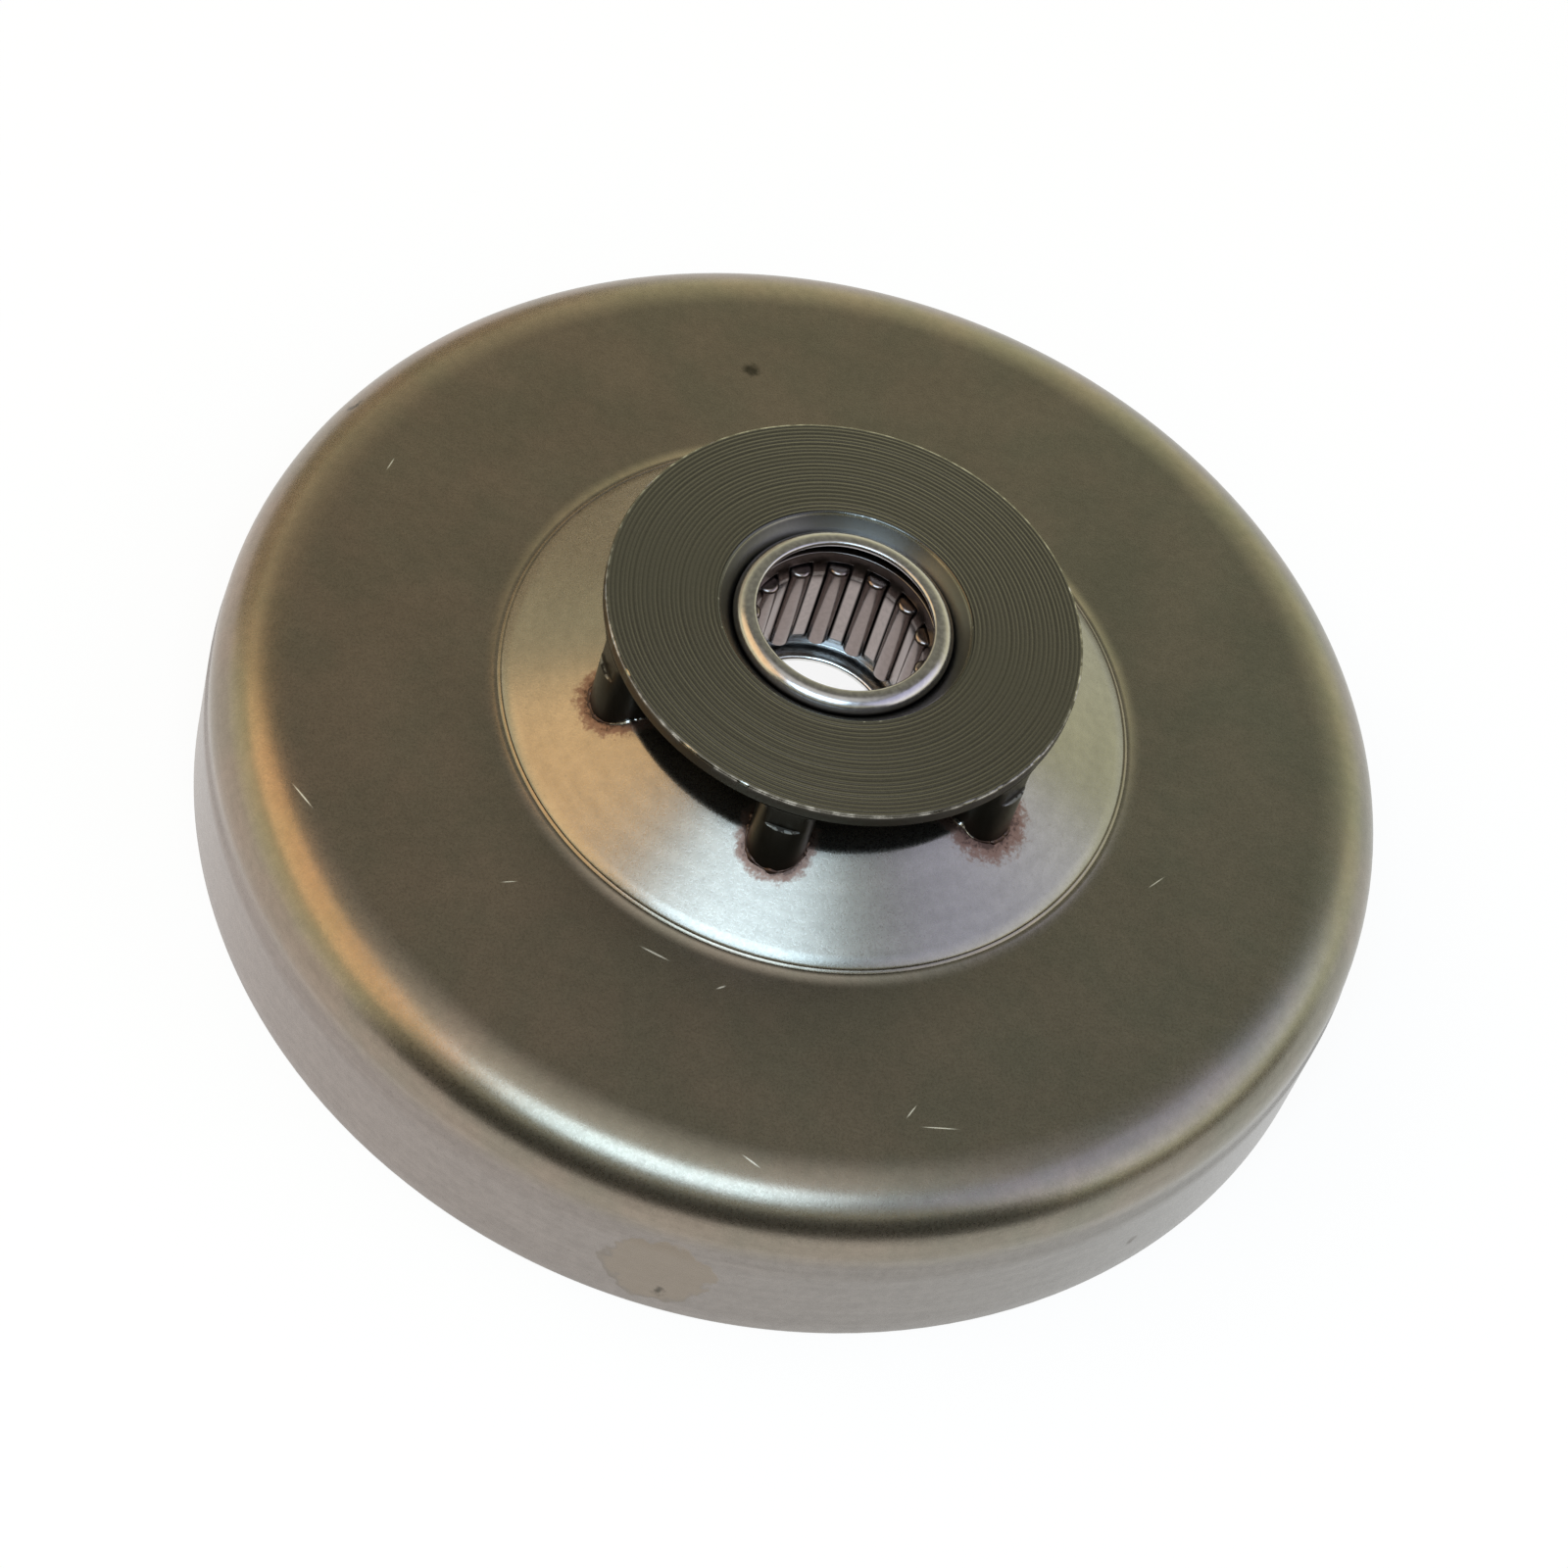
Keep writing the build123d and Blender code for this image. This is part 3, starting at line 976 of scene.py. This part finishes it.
# Painted highlight on each tooth's ledge
LEDGE_HIGHLIGHT_COLOUR = (0.26, 0.26, 0.24)
POWDER_GRAIN = (4.0, 3.0, 0.6)
TURNED_BAND = (0.35, 0.7)
CHIPS = (1.3, 3.0)
EDGE_CHIPS = (0.44, 0.66)
MOUTH_CHIPS = (0.62, 0.70)
BITS = (2.6, 2.0)
LEDGE_HIGHLIGHT_BITS = (0.44, 0.52)
GROOVE_DARK_BAND = (FLANGE_TOP - 0.003, FLANGE_TOP - 0.013, 0.0, 0.42)
SIDE_BAND = (22.3, 22.15)
UNDER_FLANGE_SHADOW_BAND = (21.4, 21.2)
CHAMFER_SHADE_BAND = (8.3, 8.1)
CHAMFER_SHADE_FADE = (8.05, 7.3)
TURNED_ROUGHNESS = (0.16, 0.23)
SIDE_ROUGHNESS = 0.14
EDGE_RADII = (14.84, 14.95)
EDGE_HEIGHTS = (22.15, 22.3)
MOUTH_RADII = (8.16, 8.1)
MOUTH_HEIGHTS = (22.26, 22.32)
LEDGE_RADII = (15.12, 15.2)
LEDGE_HEIGHTS = (19.62, 19.68)


def sintered_steel():
    """Dark turned steel, darker in its grooves, with a bright worn edge, nearly black sides, painted shadow
    under the flange, painted shade on the chamfer and a painted highlight on each ledge.
    """
    metal = Metal("sintered_steel", (0.2, 0.19, 0.15), 0.32)
    grain = metal.grain(*POWDER_GRAIN)
    chips = metal.grain(*CHIPS)

    def zone(radii, heights):
        return metal.both(metal.remap(metal.radius, *radii), metal.remap(metal.height, *heights))

    side = metal.remap(metal.height, *SIDE_BAND)
    mouth = zone(MOUTH_RADII, MOUTH_HEIGHTS)
    worn_edge = metal.both(zone(EDGE_RADII, EDGE_HEIGHTS), metal.remap(chips, *EDGE_CHIPS))
    # Painted highlight in bits on each tooth's ledge
    ledge_highlight = metal.both(zone(LEDGE_RADII, LEDGE_HEIGHTS), metal.remap(metal.grain(*BITS), *LEDGE_HIGHLIGHT_BITS))
    # Painted shade on the chamfer
    chamfer_shade = metal.blend(metal.remap(metal.radius, *CHAMFER_SHADE_FADE), *CHAMFER_SHADE_COLOURS)
    colour = metal.coats(
        metal.blend(metal.remap(grain, *TURNED_BAND), *TURNED_COLOURS),
        (metal.remap(metal.height, *GROOVE_DARK_BAND), GROOVE_DARK_COLOUR),
        (side, SIDE_COLOUR),
        (metal.remap(metal.height, *UNDER_FLANGE_SHADOW_BAND), UNDER_FLANGE_SHADOW_COLOUR),
        (zone(CHAMFER_SHADE_BAND, SIDE_BAND), chamfer_shade),
        (worn_edge, WORN_COLOUR),
        (mouth, MOUTH_COLOUR),
        (metal.both(mouth, metal.remap(chips, *MOUTH_CHIPS)), MOUTH_CHIP_COLOUR),
        (ledge_highlight, LEDGE_HIGHLIGHT_COLOUR),
    )
    rough = metal.remap(grain, *NOISE_RANGE, *TURNED_ROUGHNESS)
    rough = metal.math("ADD", rough, metal.math("MULTIPLY", side, SIDE_ROUGHNESS))
    return metal.paint(colour, rough, grain, GRAIN_DEPTH)


sprocket.data.materials.append(sintered_steel())
print("sprocket finish:", len(sprocket.data.materials[0].node_tree.nodes), "nodes")

# %% [markdown]
# ## The bearing cup
# The cup is drawn from thin strip. At each end the strip turns inwards in a wide bend and stops in a
# rounded edge, so that the rollers stay inside. The upper bend is the bright ring of the picture. The
# raceway between the lips is painted nearly black as the shade in the gaps beside the rollers, and the
# lower lip is painted bright as a reflection of the white floor.

# %% Bearing cup
CUP_WALL = 0.46
CUP_TOP = 22.3
CUP_LENGTH = 12.0
CUP_BEND = 0.9
CUP_BEND_R = 6.1
LIP_R = 5.6
LOWER_LIP_R = 5.15
LIP_ROUND = 0.2
CUP_STEPS = 160
FINE_CLOUD = (3.0, 3.0)
FINE_SHADES = (0.94, 1.06)
FINE_ROUGHENING = 0.06
LOW_FADE = 0.2
# Painted shade on the raceway and in the cage's pockets, for the gaps beside the rollers
GAP_SHADE_COLOUR = (0.03, 0.026, 0.024)
LIP_COLOUR = (0.47, 0.445, 0.44)
# Painted reflection of the white floor on the lower lip
LOWER_LIP_REFLECTION_COLOUR = (0.80, 0.80, 0.78)
LOWER_LIP_TOP = 11.0
RACEWAY_BOTTOM = (11.0, 11.3)
RACEWAY_TOP = (21.75, 21.5)


def fine_steel(name, colour, low_colour, low_z, roughness):
    """Steel with a faint cloud, which turns to low_colour below a height, and its tone."""
    metal = Metal(name, colour, roughness)
    tone = metal.blend(metal.remap(metal.height, low_z + LOW_FADE, low_z), colour, low_colour)
    cloud = metal.grain(*FINE_CLOUD)
    tone = metal.shade(tone, cloud, *FINE_SHADES)
    metal.paint(tone, metal.remap(cloud, *NOISE_RANGE, roughness, roughness + FINE_ROUGHENING))
    return metal, tone


def polished_lip():
    """Bright lips, with a painted reflection on the lower lip and painted shade on the raceway between them.
    """
    metal, tone = fine_steel("polished_lip", LIP_COLOUR, LOWER_LIP_REFLECTION_COLOUR, LOWER_LIP_TOP, 0.21)
    above = metal.remap(metal.height, *RACEWAY_BOTTOM)
    inside = metal.both(above, metal.remap(metal.height, *RACEWAY_TOP))
    return metal.paint(metal.blend(inside, tone, GAP_SHADE_COLOUR))


def cup_section():
    """The cup's closed section, outside first, in metres as the lathe tree reads it."""
    bottom = CUP_TOP - CUP_LENGTH
    inner = CUP_BEND - CUP_WALL
    upper_r = LIP_R + LIP_ROUND
    lower_r = LOWER_LIP_R + LIP_ROUND
    line = section_arc(lower_r, bottom + LIP_ROUND, LIP_ROUND, 180, 270, 4)
    line += section_arc(CUP_BEND_R, bottom + CUP_BEND, CUP_BEND, 270, 360, 10)
    line += section_arc(CUP_BEND_R, CUP_TOP - CUP_BEND, CUP_BEND, 0, 90, 14)
    line += section_arc(upper_r, CUP_TOP - LIP_ROUND, LIP_ROUND, 90, 180, 6)
    line += section_arc(upper_r, CUP_TOP - CUP_WALL + LIP_ROUND, LIP_ROUND, 180, 270, 6)
    line += section_arc(CUP_BEND_R, CUP_TOP - CUP_BEND, inner, 90, 0, 6)
    line += section_arc(CUP_BEND_R, bottom + CUP_BEND, inner, 0, -90, 6)
    line += section_arc(lower_r, bottom + CUP_WALL - LIP_ROUND, LIP_ROUND, 90, 180, 4)
    line.append(line[0])
    return [(r * MM, 0.0, z * MM) for r, z in line]


cup = run_tree(
    "bearing_cup_shell",
    turned_piece,
    cup_section(),
    {"Steps": CUP_STEPS, "Centre": (0.0, 0.0, 0.0), "Material": polished_lip()},
)
print("cup has", len(cup.data.polygons), "faces")

# %% [markdown]
# ## The needle rollers
# Each roller is a small ground pin with rounded ends. It turns on its own body, so each gets a mesh
# of its own from the same tree.

# %% Needle rollers
ROLLER_COUNT = 14
ROLLER_FIRST_ANGLE = math.radians(-1.2)
ROLLER_R = 0.75
ROLLER_LENGTH = 7.5
ROLLER_ROUND = 0.25
ROLLER_STEPS = 40
PITCH_R = 5.77
CAGE_DROP = 0.2
BEARING_MIDDLE = CUP_TOP - CUP_LENGTH / 2 - CAGE_DROP
ROLLER_COLOUR = (0.275, 0.228, 0.214)


def roller_section():
    """Half a roller's section from the middle of its lower end to the middle of its upper end."""
    half = ROLLER_LENGTH / 2
    line = [(0.0, -half)]
    line += section_arc(ROLLER_R - ROLLER_ROUND, ROLLER_ROUND - half, ROLLER_ROUND, -90, 0, 5)
    line += straight((ROLLER_R, ROLLER_ROUND - half), (ROLLER_R, half - ROLLER_ROUND), 3)
    line += section_arc(ROLLER_R - ROLLER_ROUND, half - ROLLER_ROUND, ROLLER_ROUND, 0, 90, 5)
    line += [(0.0, half)]
    return [(r * MM, 0.0, z * MM) for r, z in line]


ground_needle = fine_steel("ground_needle", ROLLER_COLOUR, ROLLER_COLOUR, 11.5, 0.2)[0].material
rollers = []
for number in range(ROLLER_COUNT):
    angle = ROLLER_FIRST_ANGLE + number * 2 * math.pi / ROLLER_COUNT
    centre = (PITCH_R * MM * math.cos(angle), PITCH_R * MM * math.sin(angle), BEARING_MIDDLE * MM)
    values = {"Steps": ROLLER_STEPS, "Centre": centre, "Material": ground_needle}
    rollers.append(run_tree(f"ground_roller_{number + 1:02d}", turned_piece, roller_section(), values))
print(len(rollers), "rollers of", len(rollers[0].data.polygons), "faces")

# %% [markdown]
# ## The cage
# The cage is one strip with a pocket for every roller and a waist between its end rings. One pocket
# and half a bar on each side is a small patch of quads. The tree turns copies of that patch round
# the axis and welds them, and a Solidify and a Bevel give the strip its thickness and soft edges.

# %% Cage shape
CAGE_R = 6.34
CAGE_STRIP = 0.38
CAGE_WAIST = 0.45
CAGE_WAIST_LENGTH = 6.3
CAGE_RING = 0.4
CAGE_END_PLAY = 0.79
CAGE_LEVELS = [1.2, 2.2]
CAGE_BREAK = 0.08
CAGE_BREAK_SEGMENTS = 3
CAGE_BREAK_TURN = math.radians(50)
CAGE_WELD = 0.005 * MM
CAGE_MERGE = 0.0005 * MM
POCKET_HALF = 0.80
POCKET_LENGTH = 7.7
POCKET_TURN = math.asin(POCKET_HALF / PITCH_R)
SECTOR = math.pi / ROLLER_COUNT


def cage_patch():
    """Points and faces of one pocket's share of the cage's outer skin."""
    half = CUP_LENGTH / 2 - CUP_WALL - CAGE_END_PLAY
    profile_z = [0, CAGE_WAIST_LENGTH / 2, half - CAGE_RING, half]
    profile_r = [CAGE_R - CAGE_WAIST, CAGE_R - CAGE_WAIST, CAGE_R, CAGE_R]
    levels = CAGE_LEVELS + [CAGE_WAIST_LENGTH / 2, POCKET_LENGTH / 2, half - CAGE_RING, half]
    levels = [-z for z in reversed(levels)] + [0] + levels
    turns = [POCKET_TURN / 2, POCKET_TURN, (SECTOR + POCKET_TURN) / 2, SECTOR]
    turns = [-turn for turn in reversed(turns)] + [0] + turns
    points = []
    for z in levels:
        r = np.interp(abs(z), profile_z, profile_r)
        for turn in turns:
            points.append((r * MM * math.cos(turn), r * MM * math.sin(turn), (BEARING_MIDDLE + z) * MM))
    faces = []
    wide = len(turns)
    for row in range(len(levels) - 1):
        middle = (levels[row] + levels[row + 1]) / 2
        for column in range(wide - 1):
            centre = (turns[column] + turns[column + 1]) / 2
            if abs(middle) < POCKET_LENGTH / 2 and abs(centre) < POCKET_TURN:
                continue
            first = row * wide + column
            faces.append((first, first + 1, first + wide + 1, first + wide))
    return points, faces


def ring_tree():
    """Turns copies of a patch round the axis and welds them into one ring."""
    nodes, given = new_tree("patch_ring", {"Count": "Int", "First Angle": "Float"})
    number = nodes.add("GeometryNodeInputIndex").outputs[0]
    share = nodes.math("DIVIDE", number, given["Count"])
    turn = nodes.math("ADD", nodes.math("MULTIPLY", share, 2 * math.pi), given["First Angle"])
    setting = {
        "Points": nodes.add("GeometryNodePoints", {"Count": given["Count"]}).outputs[0],
        "Instance": given["Geometry"],
        "Rotation": nodes.add("ShaderNodeCombineXYZ", {"Z": turn}).outputs[0],
    }
    copies = nodes.add("GeometryNodeInstanceOnPoints", setting)
    real = nodes.add("GeometryNodeRealizeInstances", {0: copies.outputs[0]})
    merge = nodes.add("GeometryNodeMergeByDistance", {"Geometry": real.outputs[0], "Distance": CAGE_WELD})
    return end_tree(nodes, given, merge.outputs[0])


def make_cage(material):
    """The welded ring of patches, thickened inwards and with broken edges."""
    made = add_mesh("bearing_cage_strip", *cage_patch())
    values = {"Count": ROLLER_COUNT, "First Angle": ROLLER_FIRST_ANGLE, "Material": material}
    add_tree(made, ring_tree(), values)
    thick = made.modifiers.new("strip", "SOLIDIFY")
    thick.thickness = CAGE_STRIP * MM
    thick.offset = -1.0
    soft = made.modifiers.new("edges", "BEVEL")
    soft.width = CAGE_BREAK * MM
    soft.segments = CAGE_BREAK_SEGMENTS
    soft.limit_method = "ANGLE"
    soft.angle_limit = CAGE_BREAK_TURN
    keep_result(made, CAGE_MERGE)
    return made


# %% [markdown]
# ## The cage's finish
# The cage is pressed from plain strip. The walls of the pockets and a thin line round each pocket are
# painted nearly black as shade, which draws a dark line beside every roller. The walls are found by
# their normals, which run round the axis, and the line by its distance from the pocket's outline. The
# top ring is painted darker as the shade under the cup's lip, the lower end darker as the shade deep in
# the bore, and the upper bend of each bar carries a painted highlight.

# %% Cage
CAGE_COLOUR = (0.35, 0.302, 0.287)
# Painted shade on the cage's lower end, deep in the bore
CAGE_LOW_SHADE_COLOUR = (0.17, 0.162, 0.16)
# Painted shade on the top ring under the cup's lip
CAGE_TOP_SHADE_COLOUR = (0.19, 0.165, 0.155)
# Painted highlight on each bar's upper bend
CAGE_BEND_HIGHLIGHT_COLOUR = (0.80, 0.77, 0.75)
CAGE_LOW_Z = 12.7
CAGE_TOP_SHADE_BAND = (19.7, 20.1)
CAGE_BEND_HIGHLIGHT_BOTTOM = (19.08, 19.16)
CAGE_BEND_HIGHLIGHT_TOP = (19.46, 19.38)
# Painted shade in a thin line round each pocket
POCKET_SHADE_LINE = (0.16, 0.05, 0.0, 0.9)
WALL_FACING = (0.3, 0.5)


def past_pocket(metal):
    """Distance of a point from the nearest pocket's outline, in millimetres and less than zero inside."""
    turn = metal.math("SUBTRACT", metal.math("ARCTAN2", metal.y, metal.x), ROLLER_FIRST_ANGLE)
    turn = metal.math("SUBTRACT", metal.math("PINGPONG", turn, SECTOR), POCKET_TURN)
    above = metal.math("ABSOLUTE", metal.math("SUBTRACT", metal.height, BEARING_MIDDLE))
    above = metal.math("SUBTRACT", above, POCKET_LENGTH / 2)
    return metal.math("MAXIMUM", metal.math("MULTIPLY", turn, metal.radius), above)


def shaded_strip():
    """Pressed strip with painted shade on its top and lower end, a painted highlight on the upper bend, and
    painted shade in and round the pockets.
    """
    metal, tone = fine_steel("cage_strip", CAGE_COLOUR, CAGE_LOW_SHADE_COLOUR, CAGE_LOW_Z, 0.2)
    around = metal.vector("CROSS_PRODUCT", (0, 0, 1), metal.vector("NORMALIZE", metal.flat))
    normal = metal.add("ShaderNodeTexCoord").outputs["Normal"]
    facing = metal.math("ABSOLUTE", metal.vector("DOT_PRODUCT", around, normal))
    # Painted highlight on the upper bend
    bend_highlight = metal.remap(metal.height, *CAGE_BEND_HIGHLIGHT_BOTTOM)
    bend_highlight = metal.both(bend_highlight, metal.remap(metal.height, *CAGE_BEND_HIGHLIGHT_TOP))
    tone = metal.coats(
        tone,
        (metal.remap(metal.height, *CAGE_TOP_SHADE_BAND), CAGE_TOP_SHADE_COLOUR),
        (bend_highlight, CAGE_BEND_HIGHLIGHT_COLOUR),
        (metal.remap(past_pocket(metal), *POCKET_SHADE_LINE), GAP_SHADE_COLOUR),
        (metal.remap(facing, *WALL_FACING), GAP_SHADE_COLOUR),
    )
    return metal.paint(tone)


cage = make_cage(shaded_strip())
print("cage has", len(cage.data.polygons), "faces")

# %% [markdown]
# ## The braze
# The teeth were brazed into the pierced sheet, which left a thin lumpy seam round the foot of each
# one. The tree sweeps a small circle along the foot line. Noise moves the line and swells the circle,
# so no two teeth look alike, and one fixed noise field keeps the result the same in every run.

# %% Braze seam
SEAM_START_R = 12.4
SEAM_R = 0.13
SEAM_SIDES = 10
SEAM_STEP = 0.1
SEAM_NOISE = 1.1
SEAM_WANDER = 0.16
SEAM_SWELL_NOISE = (0.4, 0.72)
SEAM_SWELL = (0.5, 2.2)
BARE_BRAZE = ((-10.83, -8.45, 16.3, 30, 1.3, 0.55), (10.65, -8.35, 16.3, -30, 1.1, 0.6))
BARE_FORM = (0.9, 0.2)
BARE_SHAKE = (1.6, 0.8)
BRAZE_COLOURS = ((0.085, 0.055, 0.045), (0.62, 0.57, 0.53))
BRAZE_ROUGHNESS = (0.42, 0.22)


def foot_lines():
    """Points and edges along the visible foot of every tooth, on the sheet's surface."""
    points = []
    edges = []
    for outline in np.split(star / MM, TOOTH_COUNT):
        first = len(points)
        for x, y in outline[np.hypot(*outline.T) > SEAM_START_R]:
            z = min(foot_height(math.hypot(x, y)), CONE_TOP_Z)
            points.append((x * MM, y * MM, z * MM))
        edges += [(k, k + 1) for k in range(first, len(points) - 1)]
    return points, edges


def seam_tree():
    """Sweeps a circle of changing size along wandering lines."""
    nodes, given = new_tree("braze_seam", {"Radius": "Float", "Step": "Float"})
    line = nodes.add("GeometryNodeMeshToCurve", {0: given["Geometry"]}).outputs[0]
    dense = nodes.add("GeometryNodeResampleCurve", {"Curve": line, "Length": given["Step"]}, mode="LENGTH")
    place = nodes.add("GeometryNodeInputPosition").outputs[0]
    field = nodes.noise(place, SEAM_NOISE / MM, 3.0)
    wander = nodes.vector("SUBTRACT", field["Color"], NOISE_MIDDLE)
    wander = nodes.vector("SCALE", wander, scale=SEAM_WANDER * MM)
    moved = nodes.add("GeometryNodeSetPosition", {"Geometry": dense.outputs[0], "Offset": wander})
    circle = {"Resolution": SEAM_SIDES, "Radius": given["Radius"]}
    setting = {
        "Curve": moved.outputs[0],
        "Profile Curve": nodes.add("GeometryNodeCurvePrimitiveCircle", circle).outputs["Curve"],
        "Scale": nodes.remap(field[0], *SEAM_SWELL_NOISE, *SEAM_SWELL),
        "Fill Caps": True,
    }
    sweep = nodes.add("GeometryNodeCurveToMesh", setting)
    real = nodes.add("GeometryNodeRealizeInstances", {0: sweep.outputs[0]})
    return end_tree(nodes, given, real.outputs[0])


def braze_metal():
    """Dark fused metal with a few bright bare spots."""
    metal = Metal("braze_metal", (0.1, 0.07, 0.06), 0.35)
    bare = metal.marks(metal.shaken(*BARE_SHAKE), BARE_BRAZE, *BARE_FORM)
    return metal.paint(metal.blend(bare, *BRAZE_COLOURS), metal.remap(bare, 0.0, 1.0, *BRAZE_ROUGHNESS))


seam_points, seam_edges = foot_lines()
seam = run_tree(
    "braze_seam",
    seam_tree(),
    seam_points,
    {"Radius": SEAM_R * MM, "Step": SEAM_STEP * MM, "Material": braze_metal()},
    seam_edges,
)
print("braze seam has", len(seam.data.polygons), "faces")

# %% [markdown]
# ## Riding on the bodies
# The drum, the sprocket and the cup are one rigid body. The cage turns in the cup, and each roller
# turns in its pocket, so each of them rides on a body of its own. Every mesh stands for the CAD node
# of the same piece, which stays for collision.

# %% Bodies and nodes
for piece, body, node, slot in (
    (drum, "drum_body", "drum", "drum_steel"),
    (sprocket, "drum_body", "sprocket", "sprocket_steel"),
    (cup, "drum_body", "bearing_cup", "cup_steel"),
    (cage, "cage", "bearing_cage", "cage_steel"),
):
    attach(piece, body)
    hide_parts(node)
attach(seam, "drum_body")
for number, roller in enumerate(rollers, start=1):
    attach(roller, f"roller_{number:02d}")
    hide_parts(f"needle_roller_{number:02d}")
